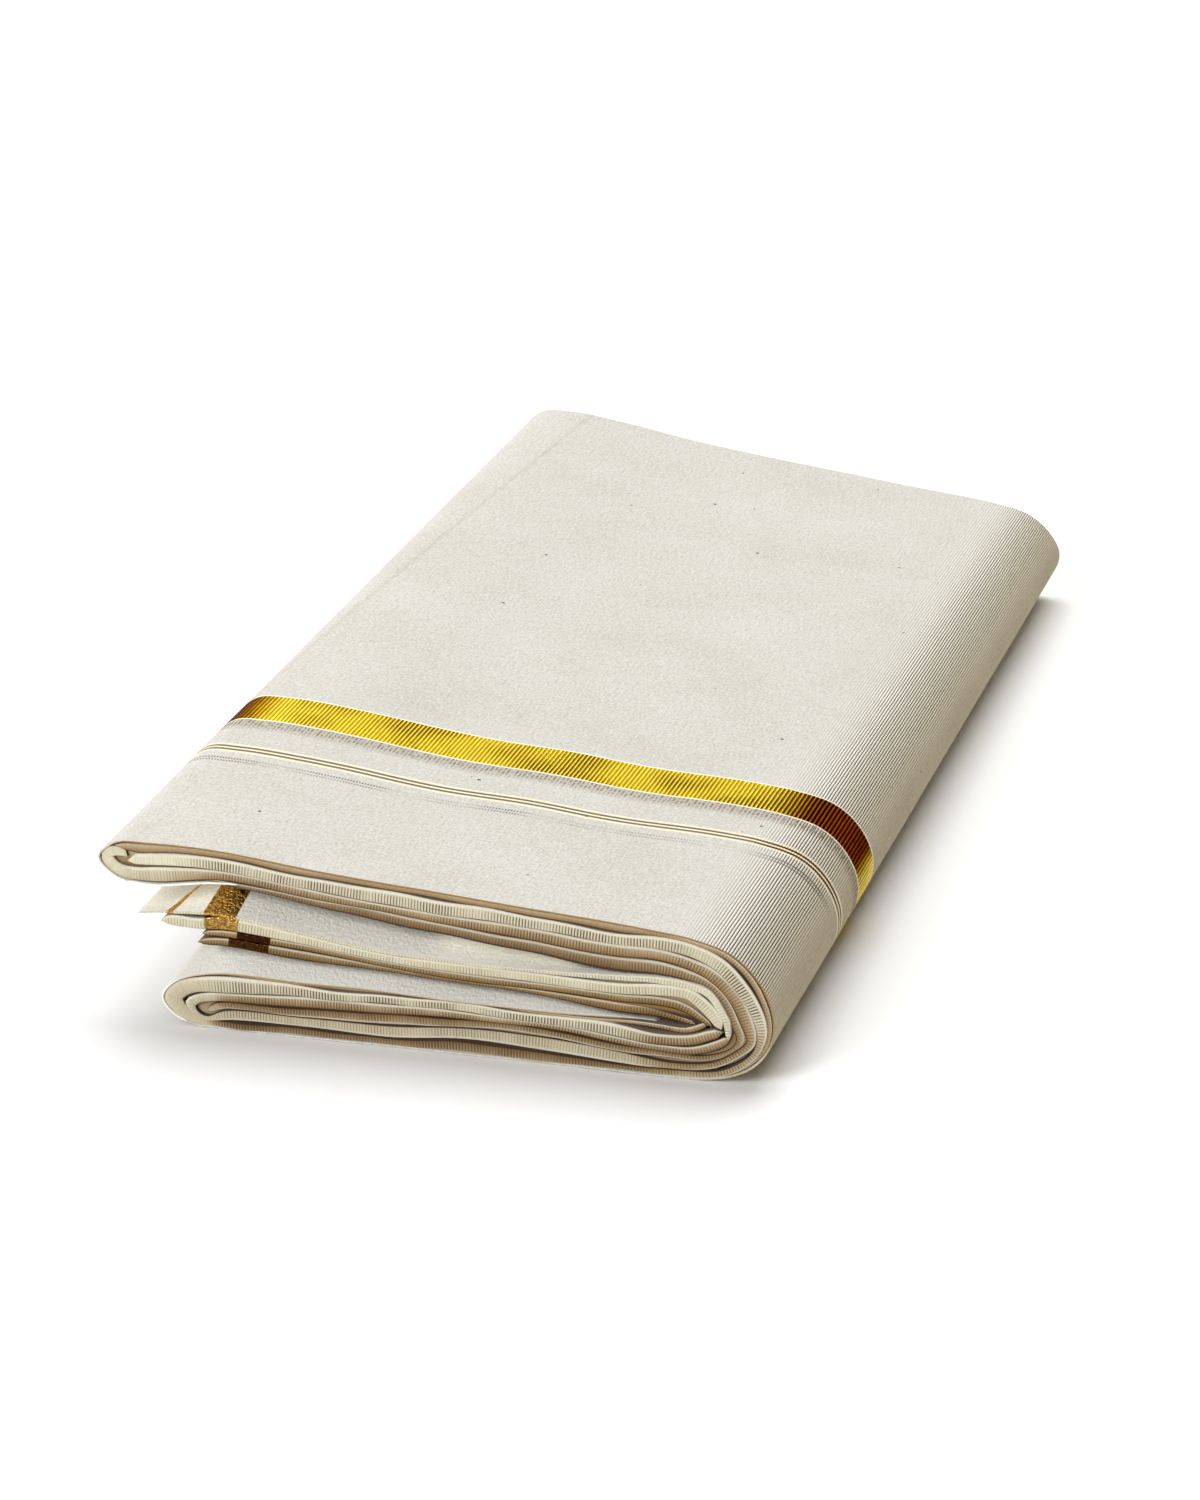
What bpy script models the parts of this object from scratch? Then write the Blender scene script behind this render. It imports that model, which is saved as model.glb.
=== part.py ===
"""Folded dhoti: one long cotton cloth, folded to a pile that lies flat.

The cloth is 1.27 m wide and is folded in four across its width, so that the
pile is a quarter of the cloth's width deep (Y).  The four-ply strip is then
folded end to end along its length, and one last turn at the right (+X) closes
the pile.  The outermost strip runs over the top, round the right turn and
along the underside, and it curls round an upper and a lower packet at the
left, between which the four plies of the cloth's end stick out.

Lengths are metres; the tables are in millimetres and are read with MM.
"""
import bpy
import numpy as np
from mathutils import Matrix

MM = 0.001

# The cloth and its folds
CLOTH_WIDTH = 1.27
DEPTH = CLOTH_WIDTH / 4
WALL = 1.4 * MM              # one folded strip: four plies, pressed
LOOSE_WALL = 1.0 * MM        # one ply of the cloth's end, with its hem
SEAM = 0.3 * MM              # between neighbouring pieces
STATIONS = 9                 # sections from the front to the back

# Layered edges of the hidden folds
LAYERS = 2                   # strips on each side of the middle fold
LAYER_RINGS = 4              # rings of points for one strip
CORE_INSET = 0.5 * MM        # the hidden folds behind the outer strip's edge
CREASE_DEPTH = 1.3 * MM      # how deep the creases between strips go
EDGE_WAVE = 0.3 * MM         # the strips' edges don't line up exactly
END_STEPS = 6                # points round a packet's left end, each side

# The outside of the outer strip, one row for each bend or sag.
# name, x and z at the front, x and z at the back
OUTER_STRIP = (
    ("end on the plies", 112.0, 20.4, 112.0, 15.8),
    ("under right", 94.0, 21.4, 94.0, 18.0),
    ("under middle", 74.0, 23.9, 74.0, 21.4),
    ("under left", 50.0, 26.8, 50.0, 25.6),
    ("packet lifts", 26.0, 30.5, 26.0, 29.8),
    ("curl bottom", 8.5, 29.0, 8.5, 30.4),
    ("curl lower left", 1.6, 30.4, 0.2, 32.0),
    ("upper tip", -1.8, 34.2, -3.4, 35.6),
    ("curl shoulder", 1.6, 37.5, 0.2, 38.9),
    ("top left", 9.0, 38.1, 8.0, 39.4),
    ("top crown", 22.0, 38.0, 22.0, 37.4),
    ("top sag", 44.0, 35.7, 44.0, 33.4),
    ("top middle", 70.0, 33.6, 70.0, 29.8),
    ("top right", 94.0, 31.8, 94.0, 26.6),
    ("turn starts", 112.0, 30.3, 112.0, 24.4),
    ("turn shoulder", 119.0, 29.4, 119.5, 23.2),
    ("upper side", 126.8, 26.7, 127.0, 21.3),
    ("side", 132.2, 21.3, 132.4, 17.4),
    ("nose", 135.0, 14.4, 135.6, 12.0),
    ("lower side", 134.6, 8.8, 134.8, 7.4),
    ("heel side", 131.4, 4.0, 131.4, 3.6),
    ("heel", 126.2, 1.1, 126.4, 1.0),
    ("floor starts", 119.0, 0.0, 119.0, 0.0),
    ("turn ends", 112.0, 0.0, 112.0, 0.0),
    ("floor middle", 64.0, 0.0, 64.0, 0.0),
    ("floor left", 24.0, 0.0, 24.0, 0.0),
    ("floor ends", 18.0, 0.1, 16.6, 0.1),
    ("curl heel", 13.2, 1.9, 11.4, 1.9),
    ("lower tip", 10.6, 5.6, 7.8, 6.2),
    ("lower curl", 13.2, 9.2, 10.8, 10.6),
    ("on top left", 22.0, 11.8, 19.0, 12.8),
    ("on top middle", 44.0, 12.0, 44.0, 12.0),
    ("on top right", 84.0, 11.2, 84.0, 9.4),
    ("end below the plies", 112.0, 10.6, 112.0, 8.4),
)
# The inside of the right turn, where the hidden strips double back
SLOT_END = (
    ("upper lip", 112.0, 20.4, 112.0, 15.8),
    ("upper corner", 114.0, 19.4, 114.0, 15.2),
    ("fold point", 115.6, 15.2, 115.6, 12.0),
    ("lower corner", 114.0, 11.4, 114.0, 9.0),
    ("lower lip", 112.0, 10.6, 112.0, 8.4),
)
# The stretches of the outer strip, each from one named row to another, with
# their points; the two stretches of each packet have the same number.
STRETCHES = {
    "underside": ("end on the plies", "upper tip", 26),
    "top": ("upper tip", "turn starts", 26),
    "turn": ("turn starts", "turn ends", 30),
    "floor": ("turn ends", "lower tip", 21),
    "topside": ("lower tip", "end below the plies", 21),
}
BEND_SPACING = 12.0          # a bend of one radian has the points of 12 mm

# The four plies of the cloth's end, from the top: where each tip sticks out,
# and how high its middle lies along X, as a share of the gap from the lower
# packet (0) to the upper packet (1).
# name, tip x, share at the tip, at 30, at 52, at 80 and at 113 mm
LOOSE_PLIES = (
    ("loose_end_first", 6.0, 0.58, 0.65, 0.58, 0.66, 0.86),
    ("loose_end_second", 10.6, 0.50, 0.52, 0.48, 0.52, 0.66),
    ("loose_end_third", 19.2, 0.41, 0.41, 0.37, 0.39, 0.46),
    ("loose_end_fourth", 17.8, 0.32, 0.29, 0.27, 0.26, 0.26),
)
LOOSE_X = (30.0, 52.0, 80.0, 112.8)
LEVEL_FROM = 24.0            # left of here the packets round away
LOOSE_STEPS = 14

COTTON = (0.80, 0.77, 0.69)
COTTON_SHADED = (0.62, 0.57, 0.46)
COTTON_ROUGHNESS = 0.9
SHARP_ANGLE = np.radians(40)


def remove_everything():
    """Remove the objects that the file holds."""
    for item in list(bpy.data.objects):
        bpy.data.objects.remove(item, do_unlink=True)


def cloth_material(name, colour):
    """A matt cotton."""
    material = bpy.data.materials.new(name)
    material.use_nodes = True
    shader = material.node_tree.nodes["Principled BSDF"]
    shader.inputs["Base Color"].default_value = (*colour, 1.0)
    shader.inputs["Roughness"].default_value = COTTON_ROUGHNESS
    return material


def smooth_curve(points, count, first=0, last=-1):
    """count points on a centripetal Catmull-Rom curve through all the points,
    from the first to the last one named, closer together where it bends."""
    points = np.asarray(points, float)
    last = last % len(points)
    padded = np.vstack([2 * points[0] - points[1], points, 2 * points[-1] - points[-2]])
    chords = np.linalg.norm(np.diff(padded, axis=0), axis=1)
    knots = np.concatenate([[0], np.cumsum(chords ** 0.5)])
    spans = []
    for i in range(first + 1, last + 1):
        t0, t1, t2, t3 = knots[i - 1:i + 3]
        p0, p1, p2, p3 = padded[i - 1:i + 3]
        t = np.linspace(t1, t2, 24, endpoint=False)[:, None]
        a1 = (t1 - t) / (t1 - t0) * p0 + (t - t0) / (t1 - t0) * p1
        a2 = (t2 - t) / (t2 - t1) * p1 + (t - t1) / (t2 - t1) * p2
        a3 = (t3 - t) / (t3 - t2) * p2 + (t - t2) / (t3 - t2) * p3
        b1 = (t2 - t) / (t2 - t0) * a1 + (t - t0) / (t2 - t0) * a2
        b2 = (t3 - t) / (t3 - t1) * a2 + (t - t1) / (t3 - t1) * a3
        spans.append((t2 - t) / (t2 - t1) * b1 + (t - t1) / (t2 - t1) * b2)
    dense = np.vstack(spans + [points[last:last + 1]])
    steps = np.diff(dense, axis=0)
    heading = np.unwrap(np.arctan2(steps[:, 1], steps[:, 0]))
    bend = np.abs(np.diff(heading, prepend=heading[0]))
    travel = np.linalg.norm(steps, axis=1) + BEND_SPACING * bend
    travelled = np.concatenate([[0], np.cumsum(travel)])
    stops = np.linspace(0, travelled[-1], count)
    return np.column_stack([np.interp(stops, travelled, dense[:, k]) for k in range(2)])


def rows_at(rows, share):
    """The table's points in x and z at a share of the depth, 0 to 1."""
    front = np.array([row[1:3] for row in rows])
    back = np.array([row[3:5] for row in rows])
    return (1 - share) * front + share * back


def stretch(name, share):
    """One stretch of the outer strip's outside at a share of the depth."""
    start, end, count = STRETCHES[name]
    names = [row[0] for row in OUTER_STRIP]
    curve = smooth_curve(rows_at(OUTER_STRIP, share), count, names.index(start), names.index(end)) * MM
    curve[:, 1] = np.maximum(curve[:, 1], 0.0)
    return curve


def inward(curve, distance):
    """The curve moved to its right-hand side by a distance, in x and z."""
    along = np.gradient(curve, axis=0)
    along /= np.linalg.norm(along, axis=1)[:, None]
    return curve + distance * np.column_stack([along[:, 1], -along[:, 0]])


def packet_curve(first, second, share):
    """The strip's outside round one packet: two stretches that share a tip."""
    return np.vstack([stretch(first, share), stretch(second, share)[1:]])


def edge_wave(share_along, phase):
    """How far an edge lies in or out, along the strip: two slow waves."""
    slow = np.sin(2 * np.pi * (1.3 * share_along + phase))
    slower = np.sin(2 * np.pi * (2.9 * share_along + 1.7 * phase))
    return EDGE_WAVE * (0.6 * slow + 0.4 * slower)


def at_depth(curve, y):
    """Points in x, y and z from a curve in x and z."""
    return np.column_stack([curve[:, 0], np.broadcast_to(y, len(curve)), curve[:, 1]])


def rings_joined(rows, ring):
    """Quads between each ring of points and the next."""
    here = np.arange(ring)
    ahead = (here + 1) % ring
    quads = []
    for k in range(rows - 1):
        a, b = k * ring, (k + 1) * ring
        quads += np.column_stack([a + here, a + ahead, b + ahead, b + here]).tolist()
    return quads


def add_solid(name, vertices, faces, material):
    """A closed mesh object whose faces point outwards."""
    used = np.unique(np.concatenate([np.array(face) for face in faces]))
    number = {int(old): new for new, old in enumerate(used)}
    mesh = bpy.data.meshes.new(name)
    mesh.from_pydata(vertices[used].tolist(), [], [[number[v] for v in face] for face in faces])
    mesh.update()
    if signed_volume(mesh) < 0:
        mesh.flip_normals()
    mesh.materials.append(material)
    mesh.shade_smooth()
    mesh.set_sharp_from_angle(angle=SHARP_ANGLE)
    solid = bpy.data.objects.new(name, mesh)
    bpy.context.scene.collection.objects.link(solid)


def signed_volume(mesh):
    """Six times the volume; negative where the faces point inwards."""
    mesh.calc_loop_triangles()
    corners = np.array([triangle.vertices for triangle in mesh.loop_triangles])
    points = np.array([vertex.co for vertex in mesh.vertices])[corners]
    return np.einsum("ij,ij->i", points[:, 0], np.cross(points[:, 1], points[:, 2])).sum()


def add_wall(name, curve_at, wall, phase, material):
    """A wall of cloth from the front to the back: at each station a ring runs
    out along the wall's outside and back along its inside."""
    rings = []
    for share in np.linspace(0, 1, STATIONS):
        outside = curve_at(share)
        inside = inward(outside, wall)
        wave = edge_wave(np.linspace(0, 1, len(outside)), phase)
        y = share * DEPTH + (1 - 2 * share) * wave
        rings.append(np.vstack([at_depth(outside, y), at_depth(inside, y)[::-1]]))
    ring = len(rings[0])
    faces = rings_joined(STATIONS, ring)
    near = np.arange(ring // 2 - 1)
    far = ring - 1 - near
    edge = np.column_stack([near, near + 1, far - 1, far])
    faces += edge[:, ::-1].tolist() + (edge + (STATIONS - 1) * ring).tolist()
    add_solid(name, np.vstack(rings), faces, material)


def seam_ends(curve):
    """The curve shortened by half a seam at both ends."""
    curve = curve.copy()
    for end, inner in ((0, 1), (-1, -2)):
        step = curve[inner] - curve[end]
        curve[end] += step / np.linalg.norm(step) * SEAM / 2
    return curve


def add_outer_strip(material):
    """The outermost strip in its three stretches, a seam's gap apart."""
    add_wall("top_stretch", lambda share: seam_ends(packet_curve("underside", "top", share)),
             WALL, 0.1, material)
    add_wall("right_turn", lambda share: seam_ends(stretch("turn", share)),
             WALL, 0.45, material)
    add_wall("underside_stretch", lambda share: seam_ends(packet_curve("floor", "topside", share)),
             WALL, 0.8, material)


def core_sides(share):
    """Outer and inner side of the hidden folds, from the upper packet's left
    end to the lower packet's left end, with as many points on each."""
    clear = WALL + SEAM
    upper = inward(packet_curve("underside", "top", share), clear)
    turn = inward(stretch("turn", share), clear)
    lower = inward(packet_curve("floor", "topside", share), clear)
    upper_tip = STRETCHES["underside"][2] - 1
    lower_tip = STRETCHES["floor"][2] - 1
    slot = smooth_curve(rows_at(SLOT_END, share), STRETCHES["turn"][2])[1:-1] * MM
    slot[0] = 0.5 * (slot[1] + upper[0])
    slot[-1] = 0.5 * (slot[-2] + lower[-1])
    outer = np.vstack([upper[upper_tip:], turn[1:], lower[1:lower_tip + 1]])
    inner = np.vstack([upper[:upper_tip + 1][::-1], slot, lower[lower_tip:][::-1]])
    return outer, inner


def core_outline(share):
    """The hidden folds' outline as one closed ring, the line of their middle
    fold, and which of the line's points each point of the ring shrinks to.

    At a packet's left end the line stops at the centre of the rounded end, so
    that the strips' edges run round it.
    """
    outer, inner = core_sides(share)
    middle = 0.5 * (outer + inner)
    spine_of = np.clip(np.arange(len(middle)), END_STEPS, len(middle) - 1 - END_STEPS)
    spine_of = np.concatenate([spine_of, spine_of[::-1][1:-1]])
    return np.vstack([outer, inner[::-1][1:-1]]), middle, spine_of


def layered_edge(share):
    """Rings of points over the front or the back face, from the outline in to
    the middle fold: they rise and sink once for each strip."""
    ring, middle, spine_of = core_outline(share)
    inwards = 1 - 2 * share
    rings = []
    for k in range(LAYERS * LAYER_RINGS):
        size = 1 - k / (LAYERS * LAYER_RINGS)
        crease = 1 - abs(np.sin(np.pi * k / LAYER_RINGS))
        wave = edge_wave(spine_of / len(middle), 0.3 * (k // LAYER_RINGS))
        y = share * DEPTH + inwards * (CORE_INSET + CREASE_DEPTH * crease + wave)
        rings.append(at_depth(middle[spine_of] + size * (ring - middle[spine_of]), y))
    spine = at_depth(middle, share * DEPTH + inwards * (CORE_INSET + CREASE_DEPTH))
    return rings, spine, spine_of


def add_hidden_folds(material):
    """All the hidden strips as one rounded solid, layered at the edges."""
    front_rings, front_spine, spine_of = layered_edge(0.0)
    back_rings, back_spine, _ = layered_edge(1.0)
    between = [at_depth(core_outline(share)[0], share * DEPTH)
               for share in np.linspace(0, 1, STATIONS)[1:-1]]
    rows = front_rings[::-1] + between + back_rings
    ring = len(spine_of)
    faces = rings_joined(len(rows), ring)
    spines = len(rows) * ring
    ends = ((0, spines, -1), (spines - ring, spines + len(front_spine), 1))
    for base, spine, order in ends:
        for i in range(ring):
            j = (i + 1) % ring
            corners = dict.fromkeys([base + i, base + j, spine + int(spine_of[j]), spine + int(spine_of[i])])
            faces.append(list(corners)[::order])
    add_solid("folded_core", np.vstack(rows + [front_spine, back_spine]), faces, material)


def loose_curve(row, share):
    """Top side of one loose ply at a share of the depth."""
    above = stretch("underside", share)[::-1]
    below = stretch("topside", share)
    x = np.array([row[1], *LOOSE_X])
    level_x = np.maximum(x, LEVEL_FROM) * MM
    high = np.interp(level_x, above[:, 0], above[:, 1])
    low = np.interp(level_x, below[:, 0], below[:, 1])
    z = low + np.array(row[2:]) * (high - low)
    middle = smooth_curve(np.column_stack([x, z / MM]), LOOSE_STEPS) * MM
    return middle + (0.0, LOOSE_WALL / 2)


def add_loose_ends(material):
    """The four plies of the cloth's end, between the two packets."""
    for number, row in enumerate(LOOSE_PLIES):
        add_wall(row[0], lambda share, row=row: loose_curve(row, share),
                 LOOSE_WALL, 0.2 * number, material)


def centre_on_footprint():
    """Move the model so that its origin is the middle of its footprint."""
    solids = [item for item in bpy.data.objects if item.type == "MESH"]
    points = np.vstack([[vertex.co for vertex in item.data.vertices] for item in solids])
    middle = (points.min(axis=0) + points.max(axis=0)) / 2
    move = Matrix.Translation((-middle[0], -middle[1], 0.0))
    for item in solids:
        item.data.transform(move)


remove_everything()
add_outer_strip(cloth_material("unbleached_cotton", COTTON))
add_hidden_folds(cloth_material("unbleached_cotton_folds", COTTON_SHADED))
add_loose_ends(cloth_material("unbleached_cotton_end", COTTON))
centre_on_footprint()
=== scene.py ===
"""A folded dhoti: one long unbleached cotton cloth with a woven gold border,
folded to a flat pile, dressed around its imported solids.

Tables are in millimetres in the pile's own frame: x from the left end of the
top to the right turn, y from the layered front edge to the back, z up.
"""

import bpy
import numpy as np
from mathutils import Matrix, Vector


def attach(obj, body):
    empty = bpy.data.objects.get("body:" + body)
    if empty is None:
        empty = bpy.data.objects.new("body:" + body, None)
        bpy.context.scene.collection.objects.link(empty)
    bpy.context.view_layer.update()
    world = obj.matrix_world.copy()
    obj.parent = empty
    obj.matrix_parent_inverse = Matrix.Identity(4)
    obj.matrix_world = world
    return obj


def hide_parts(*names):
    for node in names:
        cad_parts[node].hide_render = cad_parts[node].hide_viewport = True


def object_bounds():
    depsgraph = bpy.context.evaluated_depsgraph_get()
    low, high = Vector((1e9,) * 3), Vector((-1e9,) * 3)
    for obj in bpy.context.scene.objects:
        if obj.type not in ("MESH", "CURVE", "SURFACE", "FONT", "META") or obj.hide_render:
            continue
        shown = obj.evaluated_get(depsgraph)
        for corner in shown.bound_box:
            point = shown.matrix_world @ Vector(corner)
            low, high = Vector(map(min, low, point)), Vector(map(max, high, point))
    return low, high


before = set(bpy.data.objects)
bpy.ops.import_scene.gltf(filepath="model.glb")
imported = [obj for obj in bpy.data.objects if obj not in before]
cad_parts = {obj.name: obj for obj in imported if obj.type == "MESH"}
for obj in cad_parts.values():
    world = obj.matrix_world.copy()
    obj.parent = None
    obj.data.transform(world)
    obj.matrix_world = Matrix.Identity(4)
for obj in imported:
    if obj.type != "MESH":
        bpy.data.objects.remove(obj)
cad_low, cad_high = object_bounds()

# The pile's own frame.  The outermost curl at the back stands 3.4 mm out past
# the left end of the top, and the front edges stand 0.3 mm proud of y = 0.
MM = 0.001
CLOTH_WIDTH = 1270.0
DEPTH = CLOTH_WIDTH / 4
CURL_OVERHANG = 3.4
PILE_LEFT = cad_low[0] / MM + CURL_OVERHANG
PILE_FRONT = (cad_low[1] + cad_high[1]) / 2 / MM - DEPTH / 2


def in_frame(x, y, z):
    """Points of the pile's own frame as an array of x, y, z in metres:
    (x + PILE_LEFT, y + PILE_FRONT, z) times MM."""
    x, y, z = np.broadcast_arrays(x, y, z)
    return np.stack([x + PILE_LEFT, y + PILE_FRONT, z], axis=-1) * MM


# Camera, floor and light.  A long lens looks down on the pile from its front
# right, over a plain white sweep of paper.  One soft box hangs high behind the
# pile, a smaller one stands low at its front left, and the room is dim to the
# right.  A bright card and a dark wall behind give metal thread its two sides.
CAMERA_AT = (317.0, -808.0, 367.0)
CAMERA_PITCH = 19.8
CAMERA_TURN = 15.0
CAMERA_LENS = 112.8
camera = bpy.data.objects.new("camera", bpy.data.cameras.new("camera"))
camera.data.lens = CAMERA_LENS
camera.data.sensor_width = 36.0
camera.location = in_frame(*CAMERA_AT)
camera.rotation_euler = np.radians((90.0 - CAMERA_PITCH, 0.0, CAMERA_TURN))
bpy.context.scene.collection.objects.link(camera)
bpy.context.scene.camera = camera
bpy.context.scene.view_settings.view_transform = "Standard"


def linear(colour):
    """An sRGB colour written as six hex digits, as linear red, green, blue
    and alpha: ((c + 0.055) / 1.055) ** 2.4, or c / 12.92 near black."""
    c = np.array([int(colour[i:i + 2], 16) for i in (0, 2, 4)]) / 255
    return (*np.where(c > 0.04045, ((c + 0.055) / 1.055) ** 2.4, c / 12.92), 1.0)


def new_material(name):
    """An empty node material, its node tree and its Principled shader."""
    material = bpy.data.materials.new(name)
    material.use_nodes = True
    return material, material.node_tree, material.node_tree.nodes["Principled BSDF"]


def node(tree, kind, links=(), **settings):
    """Adds a node and returns its outputs.  A setting that names an input by
    "in_" and its number or name fills that socket; links are pairs of an
    input and the output that fills it."""
    made = tree.nodes.new("ShaderNode" + kind)
    for key, value in settings.items():
        if key.startswith("in_"):
            key = key[3:].replace("_", " ")
            made.inputs[int(key) if key.isdigit() else key].default_value = value
        else:
            setattr(made, key, value)
    for socket, output in links:
        tree.links.new(output, made.inputs[socket])
    return made.outputs


FLOOR_SIZE = 8.0
FLOOR_DROP = 0.1 * MM
PAPER_WHITE = "fdfdfd"
floor_mesh = bpy.data.meshes.new("floor")
floor_mesh.from_pydata([(x * FLOOR_SIZE / 2, y * FLOOR_SIZE / 2, -FLOOR_DROP)
                        for x, y in ((-1, -1), (1, -1), (1, 1), (-1, 1))], [], [(0, 1, 2, 3)])
floor = bpy.data.objects.new("floor", floor_mesh)
bpy.context.scene.collection.objects.link(floor)
# Uncoated paper scatters all its light, so it shows soft shadows and no gloss.
paper, _, shader = new_material("matt_paper_sweep")
shader.inputs["Base Color"].default_value = linear(PAPER_WHITE)
shader.inputs["Roughness"].default_value = 1.0
shader.inputs["Specular IOR Level"].default_value = 0.0
floor_mesh.materials.append(paper)

# name, place, side, watts
SOFT_BOXES = (
    ("back_soft_box", (0.0, 0.88, 1.9), 1.8, 43.0),
    ("front_soft_box", (-1.0, -1.8, 1.0), 1.2, 39.5),
)
for name, place, side, watts in SOFT_BOXES:
    soft_box = bpy.data.objects.new(name, bpy.data.lights.new(name, "AREA"))
    soft_box.data.size = side
    soft_box.data.energy = watts
    soft_box.location = place
    soft_box.rotation_euler = soft_box.location.to_track_quat("Z", "Y").to_euler()
    bpy.context.scene.collection.objects.link(soft_box)

# name, direction towards it, the dot products at its rim and its core, glow
ROOM_SIDES = (
    ("dim side", (0.97, 0.05, 0.24), 0.30, 0.95, linear("6a5836")),
    ("dark wall", (0.36, 0.92, 0.16), 0.88, 0.95, linear("2b2118")),
    ("bright card", (-0.36, 0.86, 0.37), 0.80, 0.93, (4.6, 4.5, 4.2, 1.0)),
)
ROOM_WHITE = "f3f4f6"
ROOM_STRENGTH = 0.22
room = bpy.data.worlds.new("studio")
room.use_nodes = True
bpy.context.scene.world = room
tree = room.node_tree
direction = node(tree, "TexCoord")["Generated"]
glow = node(tree, "RGB")["Color"]
glow.default_value = linear(ROOM_WHITE)
for _, towards, rim, core, side_glow in ROOM_SIDES:
    facing = node(tree, "VectorMath", [(0, direction)], operation="DOT_PRODUCT", in_1=towards)["Value"]
    facing = node(tree, "MapRange", [(0, facing)], interpolation_type="SMOOTHSTEP", in_1=rim, in_2=core)[0]
    glow = node(tree, "Mix", [("Factor", facing), (6, glow)], data_type="RGBA", in_7=side_glow)[2]
sky = tree.nodes["Background"]
tree.links.new(glow, sky.inputs["Color"])
sky.inputs["Strength"].default_value = ROOM_STRENGTH


# The cover: the outermost ply of the pile, one cloth all the way round.  It is
# unbleached plain-weave cotton with a gold border woven in along its length,
# wound over the top, the right turn and the underside.
# name, x and z at the front, x and z at the back
COVER_ROUTE = (
    ("end on the plies", 112.0, 20.4, 112.0, 15.8),
    ("under right", 94.0, 21.4, 94.0, 18.0),
    ("under middle", 74.0, 23.9, 74.0, 21.4),
    ("under left", 50.0, 26.8, 50.0, 25.6),
    ("packet lifts", 26.0, 30.5, 26.0, 29.8),
    ("curl bottom", 8.5, 29.0, 8.5, 30.4),
    ("curl lower left", 1.6, 30.4, 0.2, 32.0),
    ("upper tip", -1.8, 34.2, -3.4, 35.6),
    ("curl shoulder", 1.6, 37.5, 0.2, 38.9),
    ("top left", 9.0, 38.1, 8.0, 39.4),
    ("top crown", 22.0, 38.0, 22.0, 37.4),
    ("top sag", 44.0, 35.7, 44.0, 33.4),
    ("top middle", 70.0, 33.6, 70.0, 29.8),
    ("top right", 94.0, 31.8, 94.0, 26.6),
    ("turn starts", 112.0, 30.3, 112.0, 24.4),
    ("turn shoulder", 119.0, 29.4, 119.5, 23.2),
    ("upper side", 126.8, 26.7, 127.0, 21.3),
    ("side", 132.2, 21.3, 132.4, 17.4),
    ("nose", 135.0, 14.4, 135.6, 12.0),
    ("lower side", 134.6, 8.8, 134.8, 7.4),
    ("heel side", 131.4, 4.0, 131.4, 3.6),
    ("heel", 126.2, 1.1, 126.4, 1.0),
    ("floor starts", 119.0, 0.0, 119.0, 0.0),
    ("turn ends", 112.0, 0.0, 112.0, 0.0),
    ("floor middle", 64.0, 0.0, 64.0, 0.0),
    ("floor left", 24.0, 0.0, 24.0, 0.0),
    ("floor ends", 18.0, 0.1, 16.6, 0.1),
    ("curl heel", 13.2, 1.9, 11.4, 1.9),
    ("lower tip", 10.6, 5.6, 7.8, 6.2),
    ("lower curl", 13.2, 9.2, 10.8, 10.6),
    ("on top left", 22.0, 11.8, 19.0, 12.8),
    ("on top middle", 44.0, 12.0, 44.0, 12.0),
    ("on top right", 84.0, 11.2, 84.0, 9.4),
    ("end below the plies", 112.0, 10.6, 112.0, 8.4),
)
# Steps of a smooth route between two knots; lengths of the slow waves along an
# edge and of the ripples, which start later by RIPPLE_SLANT of the depth; the
# part of its wall left at an end; and how fast a swell rises behind an edge.
SPAN_STEPS = 32
EDGE_WAVE_LENGTH = 45.0
RIPPLE_LENGTH = 22.0
RIPPLE_SLANT = 0.4
THINNEST_END = 0.04
SWELL_DEPTH = 3.5


def smooth_route(knots):
    """A centripetal Catmull-Rom curve through all the knots: each knot's time
    is the one before plus the square root of the chord, and every span blends
    the straight lines through its four knots by those times."""
    p = np.vstack([2 * knots[0] - knots[1], knots, 2 * knots[-1] - knots[-2]])
    t = np.concatenate([[0], np.cumsum(np.linalg.norm(np.diff(p, axis=0), axis=1) ** 0.5)])
    p0, p1, p2, p3 = (p[i:len(p) - 3 + i, None, :] for i in range(4))
    t0, t1, t2, t3 = (t[i:len(t) - 3 + i, None, None] for i in range(4))
    now = t1 + (t2 - t1) * np.linspace(0, 1, SPAN_STEPS, endpoint=False)[None, :, None]
    a1 = ((t1 - now) * p0 + (now - t0) * p1) / (t1 - t0)
    a2 = ((t2 - now) * p1 + (now - t1) * p2) / (t2 - t1)
    a3 = ((t3 - now) * p2 + (now - t2) * p3) / (t3 - t2)
    b1 = ((t2 - now) * a1 + (now - t0) * a2) / (t2 - t0)
    b2 = ((t3 - now) * a2 + (now - t1) * a3) / (t3 - t1)
    curve = ((t2 - now) * b1 + (now - t1) * b2) / (t2 - t1)
    return np.vstack([curve.reshape(-1, p.shape[1]), knots[-1:]])


def even_stops(curve, spacing, bend_spacing):
    """Places along a curve as fractions of its points: one for each spacing
    of length, and for a bend of one radian as many as for bend_spacing."""
    steps = np.diff(curve[:, :2], axis=0)
    heading = np.unwrap(np.arctan2(steps[:, 1], steps[:, 0]))
    bend = np.abs(np.diff(heading, prepend=heading[0]))
    travel = np.linalg.norm(steps, axis=1) + bend_spacing * bend
    travelled = np.concatenate([[0], np.cumsum(travel)])
    count = int(np.ceil(travelled[-1] / spacing)) + 1
    return np.interp(np.linspace(0, travelled[-1], count), travelled, np.arange(len(curve)))


def at_stops(curve, stops):
    """The curve's columns at those fractional places."""
    places = np.arange(len(curve))
    return np.column_stack([np.interp(stops, places, column) for column in curve.T])


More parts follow.
